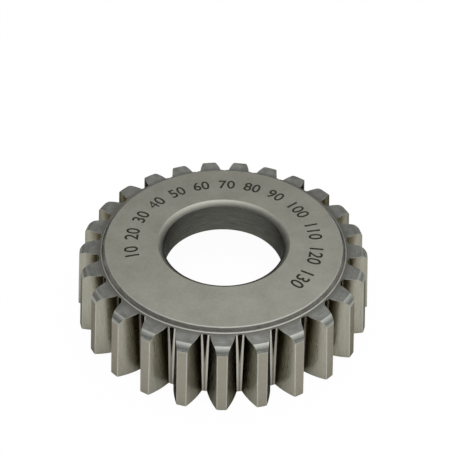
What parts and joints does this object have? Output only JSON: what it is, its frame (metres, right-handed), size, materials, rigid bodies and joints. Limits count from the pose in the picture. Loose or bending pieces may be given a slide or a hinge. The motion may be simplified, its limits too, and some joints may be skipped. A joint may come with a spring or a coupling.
{
  "type": "gear shaper cutter",
  "caption": "Disc gear shaper cutter with relieved involute teeth round the rim, a raised back face, a recessed and dished cutting face and a plain arbor bore",
  "frame": {"origin": "on the bore axis, at the level of the cutting edges, where the cutter stands on its tooth tips", "axes": "+Z along the bore axis from the cutting face to the back face, -Y through the middle of one tooth"},
  "size_m": [0.0794, 0.0792, 0.02],
  "materials": {
    "ground_steel": "ground and fine turned"
  },
  "bodies": {
    "root": {"shaper_cutter": "ground_steel"}
  },
  "joints": []
}
